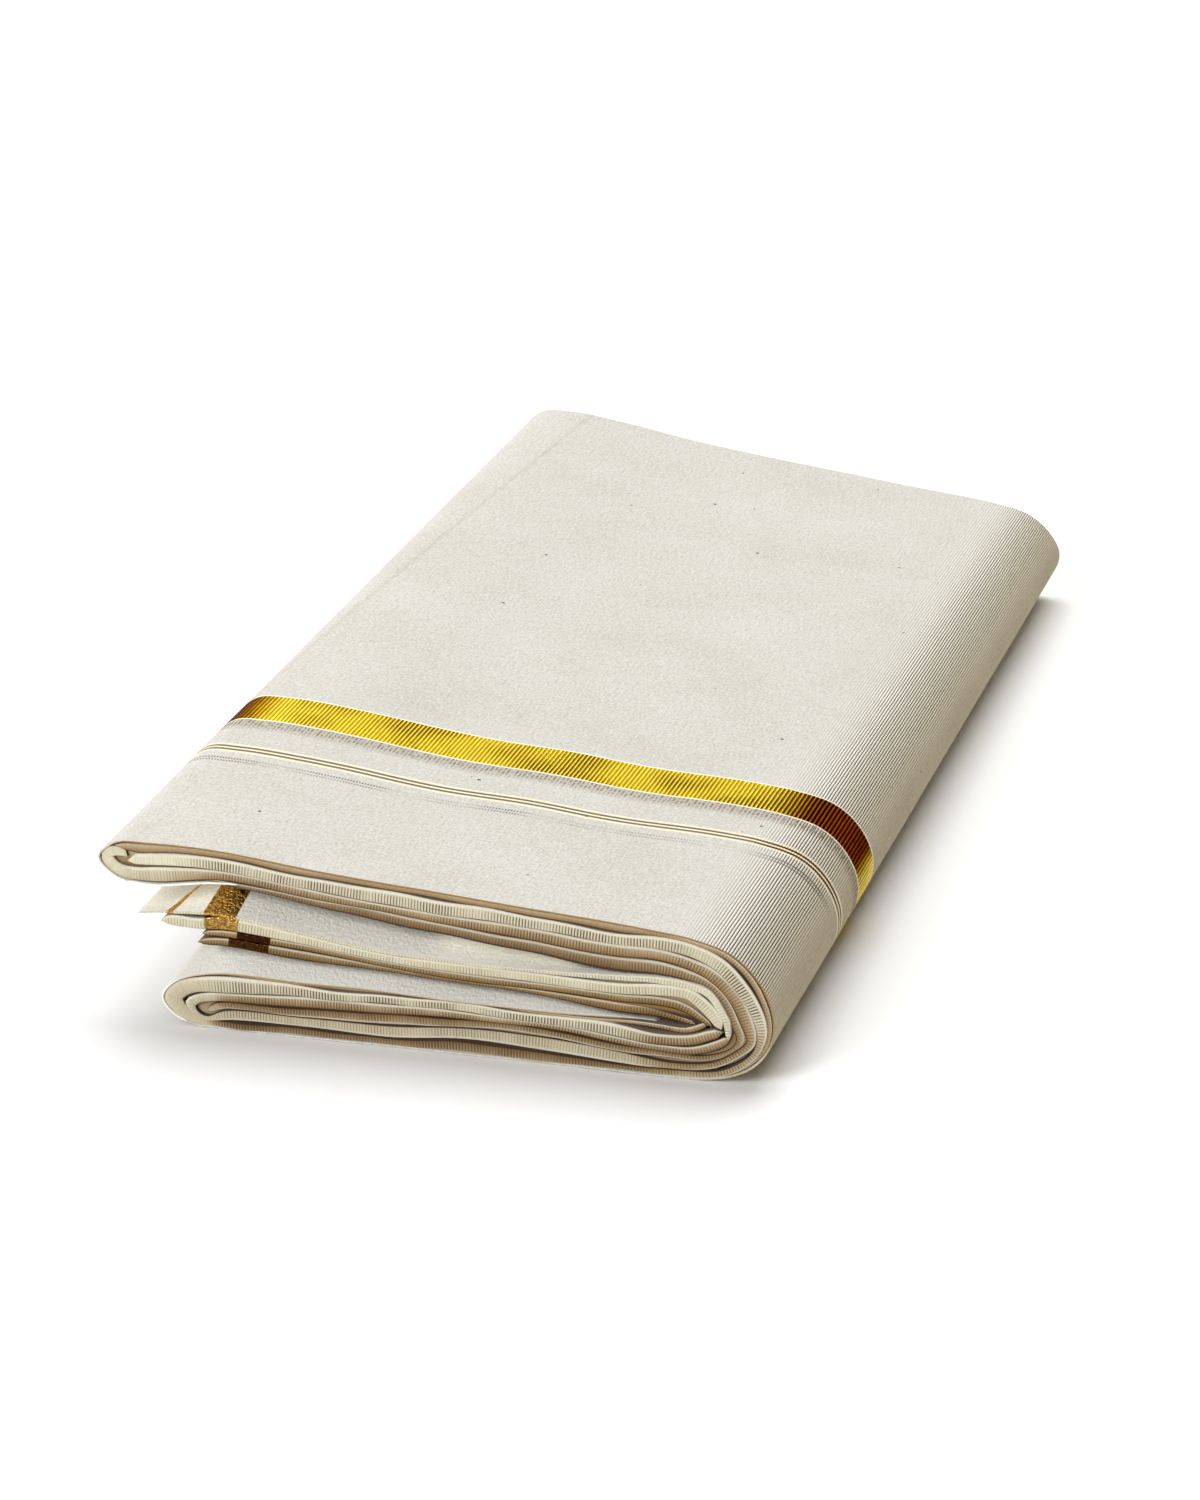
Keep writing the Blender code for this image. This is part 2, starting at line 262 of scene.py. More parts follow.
def unit_normals(curve):
    """Each point's unit normal, to the left of the way along x and z."""
    along = np.gradient(curve[:, :2], axis=0)
    along /= np.linalg.norm(along, axis=1)[:, None] + 1e-9
    return np.column_stack([-along[:, 1], along[:, 0]])


def slow_wave(u, seed, amplitude, length):
    """Sum of four sines of u with wavelengths near length and seeded phases."""
    random = np.random.default_rng(seed)
    wave = np.zeros(np.shape(u))
    for strength in (0.4, 0.3, 0.2, 0.1):
        turns = u / (length * random.uniform(0.6, 1.8)) + random.random()
        wave += strength * np.sin(2 * np.pi * turns)
    return amplitude * wave


def smooth_step(value, start, end):
    """0 before start, 1 after end, and t * t * (3 - 2 t) between."""
    t = ((value - start) / (end - start)).clip(0, 1)
    return t * t * (3 - 2 * t)


def section_ring(edge_steps, side_steps, squareness):
    """One turn round a fold's section, as each ring point's reach in from its
    edge, its height and its share of the depth: over the front edge, back
    along the lower side, over the back edge and home along the upper side.
    An edge's angle a, from the upper to the lower side, gives height
    sign(a) |sin a| ** squareness and reach 1 - |cos a| ** squareness."""
    angle = np.linspace(np.pi / 2, -np.pi / 2, edge_steps)
    reach = 1 - np.abs(np.cos(angle)) ** squareness
    profile = np.sign(np.sin(angle)) * np.abs(np.sin(angle)) ** squareness
    between = np.linspace(0, 1, side_steps + 2)[1:-1]
    flat = np.ones(side_steps)
    return (np.concatenate([reach, flat, reach, flat]),
            np.concatenate([profile, -flat, -profile, flat]),
            np.concatenate([np.zeros(edge_steps), between, np.ones(edge_steps), between[::-1]]))


def fold_points(front, back, wall, inset, rounding, spacing, bend_spacing,
                side_steps, edge_steps, squareness, waves, seed, taper=1.5,
                sink=(0.0, 1.0, 1.0), swell=(), swell_from=0.0):
    """Points of a flat fold of cloth that runs along a route, as a dictionary
    of arrays with a row for each stop and a column for each ring point.
    The middle of its section at depth y is (1 - y / D) front + (y / D) back,
    and the section goes half the wall to both sides along the normals, less
    within taper of the ends, as a quarter circle falls.  Its edges lie inset
    deep, moved by slow waves of waves[0], and sink in by sink[0] within
    sink[1] of the route's start and within sink[2] of its end; they are
    rounded as section_ring says, by rounding * w / (1 + w) for a wall w.  Slow
    ripples of waves[1] move the whole section along its normal.
    front and back are knots of x, z and, where wall is None, wall; further
    columns come back under "extra".  From the length swell_from on, the cloth
    swells up behind its edges by swell's height at x, given as rows of x and
    height, times 1 - exp(-(d / SWELL_DEPTH) ** 2), d the depth."""
    curves = [smooth_route(np.asarray(knots, float)) for knots in (front, back)]
    stops = even_stops(curves[0], spacing, bend_spacing)
    front_curve, back_curve = (at_stops(curve, stops) for curve in curves)
    steps = np.linalg.norm(np.diff(front_curve[:, :2], axis=0), axis=1)
    travelled = np.concatenate([[0], np.cumsum(steps)])
    if wall is None:
        walls = front_curve[:, 2], back_curve[:, 2]
    else:
        walls = np.full(len(stops), wall), np.full(len(stops), wall)
    to_end = np.minimum(travelled, travelled[-1] - travelled)
    ends = np.sqrt(1 - (1 - (to_end / taper).clip(0, 1)) ** 2).clip(THINNEST_END, 1)[:, None]
    from_edge, height, share = section_ring(edge_steps, side_steps, squareness)
    half = 0.5 * ends * ((1 - share) * walls[0][:, None] + share * walls[1][:, None])
    sunk = 1 - smooth_step(travelled, sink[1] / 2, sink[1]) \
        + smooth_step(travelled, travelled[-1] - sink[2], travelled[-1])
    edge_y = inset + slow_wave(travelled, seed, waves[0], EDGE_WAVE_LENGTH) + sink[0] * sunk
    edge_y = edge_y[:, None] + rounding * 2 * half / (2 * half + 1) * from_edge
    y = edge_y + share * (DEPTH - 2 * edge_y)
    across = (y / DEPTH)[..., None]
    middle = (1 - across) * front_curve[:, None, :2] + across * back_curve[:, None, :2]
    normal = (1 - across) * unit_normals(front_curve)[:, None] + across * unit_normals(back_curve)[:, None]
    ripple = slow_wave(travelled[:, None] + RIPPLE_SLANT * y, seed + 1, waves[1], RIPPLE_LENGTH)
    out = (height * half + ripple)[..., None]
    x, z = np.moveaxis(middle + normal * out, -1, 0)
    if swell:
        behind = np.minimum(y, DEPTH - y).clip(0)
        lift = np.interp(x, *np.transpose(swell)) * (travelled > swell_from)[:, None]
        z = z + lift * (1 - np.exp(-(behind / SWELL_DEPTH) ** 2))
    return {"x": x, "y": y, "z": np.maximum(z, 0.0), "extra": front_curve[:, None, 3:],
            "along": np.broadcast_to(travelled[:, None], x.shape),
            "across": np.broadcast_to(height, x.shape), "edge_steps": edge_steps}


def tube_object(name, points, **marks):
    """A closed tube from fold_points, with the length along it and the depth
    in millimetres as UV map "cloth", its height as attribute "across", and
    the marks as more attributes.  Each end is closed by quads between the
    upper and the lower half of its ring, and all faces are turned round if
    the volume that they enclose comes out negative."""
    rows, ring = points["x"].shape
    here = np.arange(ring)
    ahead = (here + 1) % ring
    first = np.arange(rows - 1)[:, None] * ring
    sides = np.stack([first + here, first + ring + here, first + ring + ahead, first + ahead], axis=-1)
    middle = points["edge_steps"] // 2
    upper = (middle - 1 - np.arange(ring // 2)) % ring
    lower = (middle + np.arange(ring // 2)) % ring
    cap = np.stack([upper[:-1], upper[1:], lower[1:], lower[:-1]], axis=-1)
    faces = np.vstack([sides.reshape(-1, 4), cap[:, ::-1], cap + (rows - 1) * ring])
    corners = in_frame(points["x"], points["y"], points["z"]).reshape(-1, 3)
    a, b, c, d = np.moveaxis(corners[faces] - corners.mean(axis=0), 1, 0)
    volume = (np.cross(a, b) * c).sum() + (np.cross(a, c) * d).sum()
    faces = faces[:, ::-1] if volume < 0 else faces
    mesh = bpy.data.meshes.new(name)
    mesh.vertices.add(len(corners))
    mesh.vertices.foreach_set("co", corners.astype(np.float32).ravel())
    mesh.loops.add(faces.size)
    mesh.loops.foreach_set("vertex_index", faces.astype(np.int32).ravel())
    mesh.polygons.add(len(faces))
    mesh.polygons.foreach_set("loop_start", np.arange(0, faces.size, 4, dtype=np.int32))
    mesh.update(calc_edges=True)
    places = np.stack([points["along"], points["y"]], axis=-1).reshape(-1, 2)
    mesh.uv_layers.new(name="cloth").data.foreach_set("uv", places[faces].astype(np.float32).ravel())
    for mark, values in {"across": points["across"], **marks}.items():
        attribute = mesh.attributes.new(mark, "FLOAT", "POINT")
        values = np.broadcast_to(values, (rows, ring)).astype(np.float32)
        attribute.data.foreach_set("value", values.ravel())
    mesh.shade_smooth()
    made = bpy.data.objects.new(name, mesh)
    bpy.context.scene.collection.objects.link(made)
    return made


# The cotton itself.  Unbleached yarn keeps a cream tone and a little seed
# trash, it is matt and slightly hairy, and its threads differ in thickness.
# Real threads lie about 0.35 mm apart and are drawn at 0.7 mm, to show.
THREAD_PITCH = 0.7
UNEVEN_WARP = (0.22, 1.9, 0.0)
UNEVEN_WEFT = (1.9, 0.22, 0.0)
CLOUD_LENGTH = 1 / 0.035
COTTON_ROUGHNESS = 0.92
COTTON_LIGHT = "d9d7d1"
COTTON_DULL = "c3bfb6"
# A lighter copy of the cotton, painted light: the folds and loose plies are made of it, and the cover
# takes it in the gaps between the packets and on the turn's shoulder.
FRESH_LIGHT = "faf8ee"
FRESH_DULL = "eeeadd"
SEED_BROWN = "3a2817"
SEED_CELL = 8.5
SEED_SIZE = 0.8
THREAD_RELIEF = 0.07


def laid_over(tree, colour, *layers):
    """The colour with layers laid over it in turn, each a shade and the masks
    whose product is its share."""
    for shade, share, *masks in layers:
        for mask in masks:
            share = node(tree, "Math", [(0, share), (1, mask)], operation="MULTIPLY")[0]
        colour = node(tree, "Mix", [("Factor", share), (6, colour)], data_type="RGBA",
                      in_7=linear(shade))[2]
    return colour


def cotton_ground(tree, place, dull, light):
    """Colour and height of plain weave at a place in millimetres.  The height
    is noise drawn out along u and along v for uneven threads, plus 2.6 times
    a fine grain for their crossings; with 0.7 times a slow cloudiness it
    blends dull to light from 2.2 to 3.  Seed trash is a dark speck at the
    middle of some cells of a Voronoi pattern, none below 0.35 of the cell's
    random number and the largest from 0.75 on."""
    warp = node(tree, "VectorMath", [(0, place)], operation="MULTIPLY", in_1=UNEVEN_WARP)[0]
    weft = node(tree, "VectorMath", [(0, place)], operation="MULTIPLY", in_1=UNEVEN_WEFT)[0]
    warp = node(tree, "TexNoise", [("Vector", warp)], in_Scale=1.0, in_Detail=3.0)[0]
    weft = node(tree, "TexNoise", [("Vector", weft)], in_Scale=1.0, in_Detail=3.0)[0]
    grain = node(tree, "TexNoise", [("Vector", place)], in_Scale=1 / THREAD_PITCH, in_Detail=3.0)[0]
    cloudy = node(tree, "TexNoise", [("Vector", place)], in_Scale=1 / CLOUD_LENGTH, in_Detail=2.0)[0]
    threads = node(tree, "Math", [(0, warp), (1, weft)], operation="ADD")[0]
    threads = node(tree, "Math", [(0, grain), (2, threads)], operation="MULTIPLY_ADD", in_1=2.6)[0]
    tone = node(tree, "Math", [(0, cloudy), (2, threads)], operation="MULTIPLY_ADD", in_1=0.7)[0]
    tone = node(tree, "MapRange", [(0, tone)], in_1=2.2, in_2=3.0)[0]
    colour = node(tree, "Mix", [("Factor", tone)], data_type="RGBA",
                  in_6=linear(dull), in_7=linear(light))[2]
    cells = node(tree, "TexVoronoi", [("Vector", place)], in_Scale=1 / SEED_CELL)
    pick = node(tree, "SeparateColor", [(0, cells["Color"])])[0]
    radius = node(tree, "MapRange", [(0, pick)], in_1=0.35, in_2=0.75,
                  in_4=SEED_SIZE / SEED_CELL / 2)[0]
    speck = node(tree, "Math", [(0, cells["Distance"]), (1, radius)], operation="LESS_THAN")[0]
    return laid_over(tree, colour, (SEED_BROWN, speck)), threads


def ribs_along(tree, u, place, pitch, waver):
    """Ribs across u: 0.5 + 0.5 sin(2 pi u / pitch), with the phase moved by
    waver radians of a slow noise."""
    turns = node(tree, "Math", [(0, u)], operation="MULTIPLY", in_1=2 * np.pi / pitch)[0]
    drift = node(tree, "TexNoise", [("Vector", place)], in_Scale=0.12, in_Detail=1.0)[0]
    turns = node(tree, "Math", [(0, drift), (2, turns)], operation="MULTIPLY_ADD", in_1=waver)[0]
    swing = node(tree, "Math", [(0, turns)], operation="SINE")[0]
    return node(tree, "Math", [(0, swing)], operation="MULTIPLY_ADD", in_1=0.5, in_2=0.5)[0]


def stripe(tree, across, middle, width, soft):
    """1 within half a width of the middle, 0 outside, with an edge as wide as
    soft: the distance |across - middle| mapped to 1 to 0."""
    away = node(tree, "Math", [(0, across)], operation="SUBTRACT", in_1=middle)[0]
    away = node(tree, "Math", [(0, away)], operation="ABSOLUTE")[0]
    return node(tree, "MapRange", [(0, away)], in_1=(width + soft) / 2, in_2=(width - soft) / 2)[0]


# Cotton with the gold border woven in: flat gold thread (zari) over fine ribs,
# bright where it mirrors the light, between two cream cords.  Where it bends
# away from the light, at the turn and the left curl, its dim reflection is
# painted on in brown, and its dents, raised as relief, are painted dark as
# shade too.  In front of it a grey-brown stripe of loosely set weft shows as a
# hatch, then come two fine brown lines between three cream ones, and two worn
# dotted ones.  The cloth's own ribs, real at 0.52 mm and drawn a little wider,
# open where it bends round the turn, with painted shade in their grooves.
RIB_PITCH = 0.62
RIB_WAVER = 1.2
RIB_RELIEF = 0.12
# Painted shade in the grooves between the cover's ribs, where they open.
TURN_GROOVE = "402810"
# Painted shade: the turn's side is multiplied by this darker, yellower tone.
TURNED_TONE = "e6d9bd"
GOLD_WIDTH = 14.4
CORD_WIDTH = 0.6
LINE_SOFTNESS = 0.15
# Distances in millimetres from the gold's near edge.
# name, distance of its middle, width, colour, share
CREAM_LINES = (
    ("near cord", -CORD_WIDTH / 2, CORD_WIDTH, "fffae8", 1.0),
    ("far cord", GOLD_WIDTH + CORD_WIDTH / 2, CORD_WIDTH, "fffae8", 1.0),
    ("upper line", -16.2, 0.8, "fff2cc", 0.9),
    ("lower line", -20.1, 0.8, "fff2cc", 0.9),
    ("middle line", -18.15, 0.7, "fff2cc", 0.9),
)
BROWN_LINES = (
    ("upper line", -17.3, 0.9, "523008", 1.0),
    ("lower line", -19.0, 0.9, "523008", 1.0),
)
DOTTED_LINES = (
    ("upper line", -24.2, 0.8, "4a4234", 0.9),
    ("lower line", -25.7, 0.8, "4a4234", 0.8),
)
HATCH_DEPTH = 7.0
HATCH_BROWN = "7c6a54"
# A pressed crease along the top's left, painted on as a faint line of shade:
# its place along the cloth at the front edge, and how far it moves on per
# depth.
CREASE_AT = 114.6
CREASE_SLANT = 0.059
CREASE_WIDTH = 1.1
CREASE_TONE = "ebe7dc"
ZARI_PITCH = 0.88
ZARI_GOLD = "ffdc34"
# Painted shade in the gold's dents, and painted brown reflection where it bends.
ZARI_DENT = "5a3400"
ZARI_BENT = "88401e"
ZARI_BENT_DENT = "2a1006"
ZARI_EDGE = (1.0, 0.95, 0.55, 1.0)
ZARI_EDGE_BENT = (0.20, 0.07, 0.02, 1.0)
ZARI_ROUGHNESS = 0.32
ZARI_RELIEF = 0.25
ZARI_HAMMERED = 0.2
# Painted shade on the cover's edge: tan below its top, brown on its lower half.
CUT_EDGE_TAN = "a07a42"
CUT_EDGE_BROWN = "6a4a18"

border_cotton, tree, shader = new_material("woven_cotton_with_zari_border")
place = node(tree, "UVMap", uv_map="cloth")[0]
u = node(tree, "SeparateXYZ", [(0, place)])[0]
across, fresh, turned, open_ribs, border, bent, cut = (
    node(tree, "Attribute", attribute_name=mark)["Fac"]
    for mark in ("across", "fresh", "turned", "ribs", "border", "bent", "cut"))
colour, threads = cotton_ground(tree, place, COTTON_DULL, COTTON_LIGHT)
# Painted light: the lighter cotton, by the cover's attribute for it.
colour = laid_over(tree, colour, (FRESH_LIGHT, fresh))
# Painted shade: the turn's side is multiplied darker and yellower.
colour = node(tree, "Mix", [("Factor", turned), (6, colour)], data_type="RGBA",
              blend_type="MULTIPLY", in_7=linear(TURNED_TONE))[2]

# The cloth's ribs, with painted shade in their grooves where they open, and
# the fine lines: brown ones are drawn tight at the turn, dotted ones show only
# on the ribs and are worn away in places.
ribs = ribs_along(tree, u, place, RIB_PITCH, RIB_WAVER)
groove = node(tree, "MapRange", [(0, ribs)], in_1=0.38, in_2=0.14)[0]
colour = laid_over(tree, colour, (TURN_GROOVE, groove, open_ribs))
drawn_tight = node(tree, "MapRange", [(0, open_ribs)], in_2=0.6, in_3=0.8)[0]
worn = node(tree, "TexNoise", [("Vector", place)], in_Scale=0.045, in_Detail=1.0)[0]
worn = node(tree, "MapRange", [(0, worn)], in_1=0.42, in_2=0.6, in_3=0.15)[0]
worn = node(tree, "Math", [(0, worn), (1, open_ribs)], operation="MAXIMUM")[0]
for lines, masks in ((CREAM_LINES, ()), (BROWN_LINES, (drawn_tight,)), (DOTTED_LINES, (ribs, worn))):
    for _, middle, width, shade, share in lines:
        line = stripe(tree, border, middle, width, LINE_SOFTNESS)
        line = node(tree, "Math", [(0, line)], operation="MULTIPLY", in_1=share)[0]
        colour = laid_over(tree, colour, (shade, line, *masks))

# The hatched stripe, full next to the gold and gone at HATCH_DEPTH, in ticks
# between the zari's ribs; and the pressed crease, painted as a faint, patchy
# line of shade.
zari_ribs = ribs_along(tree, u, place, ZARI_PITCH, RIB_WAVER)
fading = node(tree, "MapRange", [(0, border)], in_1=-HATCH_DEPTH, in_2=-HATCH_DEPTH / 2)[0]
before_gold = node(tree, "Math", [(0, border)], operation="LESS_THAN", in_1=-CORD_WIDTH)[0]
tick = node(tree, "MapRange", [(0, zari_ribs)], in_1=0.65, in_2=0.35)[0]
patchy = node(tree, "TexNoise", [("Vector", place)], in_Scale=0.9, in_Detail=2.0)[0]
patchy = node(tree, "MapRange", [(0, patchy)], in_1=0.35, in_2=0.6)[0]
hatch = node(tree, "Math", [(0, tick), (1, patchy)], operation="MULTIPLY")[0]
hatch = node(tree, "Math", [(0, hatch)], operation="MULTIPLY_ADD", in_1=0.7, in_2=0.28)[0]
colour = laid_over(tree, colour, (HATCH_BROWN, fading, before_gold, hatch))
crease = node(tree, "VectorMath", [(0, place)], operation="DOT_PRODUCT",
              in_1=(1.0, -CREASE_SLANT, 0.0))["Value"]
crease = stripe(tree, crease, CREASE_AT, CREASE_WIDTH, CREASE_WIDTH)
crease = node(tree, "Math", [(0, crease), (1, hatch)], operation="MULTIPLY")[0]
colour = node(tree, "Mix", [("Factor", crease), (6, colour)], data_type="RGBA",
              blend_type="MULTIPLY", in_7=linear(CREASE_TONE))[2]

# The gold: dents between its ribs, deep in patches and wherever it bends,
# raised as relief and painted dark as shade; where it bends it is painted
# brown, its dim reflection there.
gold = stripe(tree, border, GOLD_WIDTH / 2, GOLD_WIDTH, LINE_SOFTNESS)
ridged = node(tree, "TexNoise", [("Vector", place)], in_Scale=0.06, in_Detail=1.0)[0]
ridged = node(tree, "MapRange", [(0, ridged)], in_1=0.42, in_2=0.62, in_3=0.7)[0]
ridged = node(tree, "Math", [(0, ridged), (1, bent)], operation="MAXIMUM")[0]
dent = node(tree, "MapRange", [(0, zari_ribs)], in_1=0.55, in_2=0.15)[0]
crest = node(tree, "MapRange", [(0, zari_ribs)], in_1=0.6, in_2=1.0, in_3=1.0, in_4=0.8)[0]
colour = laid_over(tree, colour, (ZARI_GOLD, gold), (ZARI_DENT, gold, dent, ridged),
                   (ZARI_BENT, gold, bent, crest), (ZARI_BENT_DENT, gold, bent, dent))

# The cover's rounded edge, painted tan as shade below its top and brown as
# deeper shade on its lower half.
frayed = node(tree, "MapRange", [(0, across)], in_1=0.85, in_2=0.55)[0]
lower_lip = node(tree, "MapRange", [(0, across)], in_1=-0.1, in_2=-0.6)[0]
colour = laid_over(tree, colour, (CUT_EDGE_TAN, frayed, cut), (CUT_EDGE_BROWN, lower_lip, cut))

# Where the gold bends, its edge tint is dark brown: a painted darkening of its reflection.
edge_tint = node(tree, "Mix", [("Factor", bent)], data_type="RGBA", in_6=ZARI_EDGE, in_7=ZARI_EDGE_BENT)[2]
roughness = node(tree, "MapRange", [(0, gold)], in_3=COTTON_ROUGHNESS, in_4=ZARI_ROUGHNESS)[0]
rib_height = node(tree, "Math", [(0, ribs), (1, open_ribs)], operation="MULTIPLY")[0]
rib_height = node(tree, "Math", [(0, rib_height)], operation="MULTIPLY", in_1=RIB_RELIEF)[0]
cotton_height = node(tree, "Math", [(0, threads), (2, rib_height)], operation="MULTIPLY_ADD",
                     in_1=THREAD_RELIEF)[0]
gold_height = node(tree, "Math", [(0, zari_ribs), (1, ridged)], operation="MULTIPLY")[0]
gold_height = node(tree, "Math", [(0, gold_height)], operation="MULTIPLY", in_1=ZARI_RELIEF)[0]
hammered = node(tree, "TexNoise", [("Vector", place)], in_Scale=2.2, in_Detail=2.0)[0]
gold_height = node(tree, "Math", [(0, hammered), (2, gold_height)], operation="MULTIPLY_ADD",
                   in_1=ZARI_HAMMERED)[0]
height = node(tree, "Mix", [("Factor", gold), (2, cotton_height), (3, gold_height)], data_type="FLOAT")[0]
bump = node(tree, "Bump", [("Height", height)], in_Distance=MM, in_Strength=1.0)[0]
for socket, output in (("Base Color", colour), ("Metallic", gold), ("Roughness", roughness),
                       ("Specular Tint", edge_tint), ("Normal", bump)):
    tree.links.new(output, shader.inputs[socket])

# The cover's wall lies inside its route, and its edges lie a little proud of
# the strips below.  Ribs open over the top's right and the shoulder of the
# turn and close again on its side.  The turn's side is painted darker and
# yellower as shade, and the shoulder and the stretches in the gaps between the
# packets are painted in the lighter cotton as light.
COVER_WALL = 0.45
COVER_PROUD = 0.25
# How deep the cover's edges sink in under the upper packet, where it starts,
# and at its other end, and within which lengths of the two.
COVER_SINK = (2.5, 108.0, 25.0)
# Lengths along the cover at which a mark starts, is full, fades and ends.
TURN_RIBS = (233.0, 247.0, 254.0, 262.0)
CUT_EDGE = (118.0, 124.0, 262.0, 272.0)
TURNED = (236.0, 266.0, 275.0, 290.0)
# Spans of the gold's painted brown reflection, round the turn and the curl.
TURN_BROWN = (234.0, 246.0, 258.0, 263.0)
CURL_BROWN = (110.0, 114.0, 119.5, 129.0)
# The lower packet's top takes the edge's painted shade from here, at this share.
LOWER_CUT = (398.0, 408.0)
LOWER_CUT_SHARE = 0.75
CLOSED_RIBS = 0.04
PACKET_UNDER_TO = 108.0
LOWER_TOP_FROM = 390.0
# The gold's near edge: its depth on the top, at the left curl and at the nose,
# the x from which it moves towards each, and over how far, and its own waves.
BORDER_AT = 71.8
BORDER_AT_CURL = 73.4
BORDER_AT_TURN = 75.6
CURL_MOVES = 40.0
TURN_MOVES = (80.0, 50.0)
TURN_EASE = 1.5
BORDER_WAVE = 0.8
BORDER_SEED = 11
# x, how far the lower packet's top swells up there, under the loose plies
LOWER_SWELL = (
    (10.0, 0.0), (16.0, 1.5), (24.0, 4.6), (40.0, 4.0), (56.0, 3.8), (72.0, 3.0),
    (88.0, 2.8), (104.0, 0.8), (112.0, 0.2),
)


def moved_in(knots, distance):
    """Knots moved to the right of the way by a distance: p - distance n."""
    normals = unit_normals(smooth_route(knots))[::SPAN_STEPS]
    return knots - distance * normals


route = np.array([row[1:] for row in COVER_ROUTE])
points = fold_points(moved_in(route[:, :2], COVER_WALL / 2), moved_in(route[:, 2:], COVER_WALL / 2),
                     COVER_WALL, inset=-COVER_PROUD, rounding=1.0, spacing=1.3, bend_spacing=7.0,
                     side_steps=60, edge_steps=12, squareness=0.8, waves=(0.25, 0.10), seed=3,
                     taper=3.0, sink=COVER_SINK, swell=LOWER_SWELL, swell_from=LOWER_TOP_FROM)
along = points["along"]
open_ribs, turn_brown, curl_brown, cut_edge, turned = (
    smooth_step(along, *stretch[:2]) - smooth_step(along, *stretch[2:])
    for stretch in (TURN_RIBS, TURN_BROWN, CURL_BROWN, CUT_EDGE, TURNED))
# Painted light on the cover: full where it lies in the gaps between the packets, and as far as the ribs
# open over the turn.
wound_over = (along > PACKET_UNDER_TO) & (along < LOWER_TOP_FROM)
to_turn = ((points["x"] - TURN_MOVES[0]) / TURN_MOVES[1]).clip(0, 1) ** TURN_EASE
to_curl = ((CURL_MOVES - points["x"]) / CURL_MOVES).clip(0, 1)
near_edge = BORDER_AT + (BORDER_AT_TURN - BORDER_AT) * to_turn \
    + (BORDER_AT_CURL - BORDER_AT) * to_curl + slow_wave(along, BORDER_SEED, BORDER_WAVE, EDGE_WAVE_LENGTH)
cover = tube_object("cover_cloth", points, ribs=CLOSED_RIBS + (1 - CLOSED_RIBS) * open_ribs,
                    bent=turn_brown + curl_brown, turned=turned, border=points["y"] - near_edge,
                    cut=np.maximum(cut_edge, LOWER_CUT_SHARE * smooth_step(along, *LOWER_CUT)),
                    fresh=np.where(wound_over, open_ribs, 1.0))
cover.data.materials.append(border_cotton)
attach(cover, "root")
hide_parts("top_stretch", "right_turn", "underside_stretch")


# The hidden strips: the same cloth, four plies to a strip, doubled back over
# and over inside the cover.  Only their pressed front and back edges show,
# as rounded ribbed bands with dark creases between them.
# Heights of the creases on the front edge at each x of RUN_X, from the top.
RUN_X = np.array((24.0, 40.0, 56.0, 72.0, 88.0, 104.0))
CREASES = {
    "under the cover": (37.6, 35.7, 34.2, 33.2, 31.8, 30.6),
    "upper 1": (36.0, 34.1, 32.8, 31.7, 30.3, 28.8),
    "upper 2": (33.4, 31.6, 29.8, 28.8, 27.8, 26.4),
    "upper 3": (31.3, 29.6, 28.2, 26.6, 25.0, 23.7),
    "upper packet's underside": (30.6, 28.1, 25.8, 24.3, 22.4, 20.5),
    "lower packet's top": (11.5, 11.5, 11.1, 11.2, 10.6, 10.6),
    "lower 1": (11.2, 10.8, 10.7, 10.9, 10.2, 9.9),
    "lower 2": (7.5, 8.4, 8.9, 8.9, 8.3, 7.2),
    "lower 3": (5.6, 6.0, 6.8, 7.3, 7.2, 5.8),
    "lower 4": (4.0, 4.0, 4.4, 5.3, 5.6, 4.1),
    "lower 5": (1.9, 2.0, 1.9, 2.9, 2.7, 1.6),
    "floor": (0.0, 0.0, 0.0, 0.0, 0.0, 0.0),
}


def bend(tan, ribs, *knots):
    """Knots of x, z and wall with the same tan and ribs added to all."""
    return np.column_stack([knots, np.full((len(knots), 2), (tan, ribs))])


def run(upper, lower, tan, ribs, thinner=0.0):
    """The stretch of a strip between two creases, as knots of x, z, wall, tan
    and ribs: the middle between the creases' heights, and their distance less
    thinner."""
    high, low = np.array(CREASES[upper]), np.array(CREASES[lower])
    return bend(tan, ribs, *zip(RUN_X, (high + low) / 2, high - low - thinner))


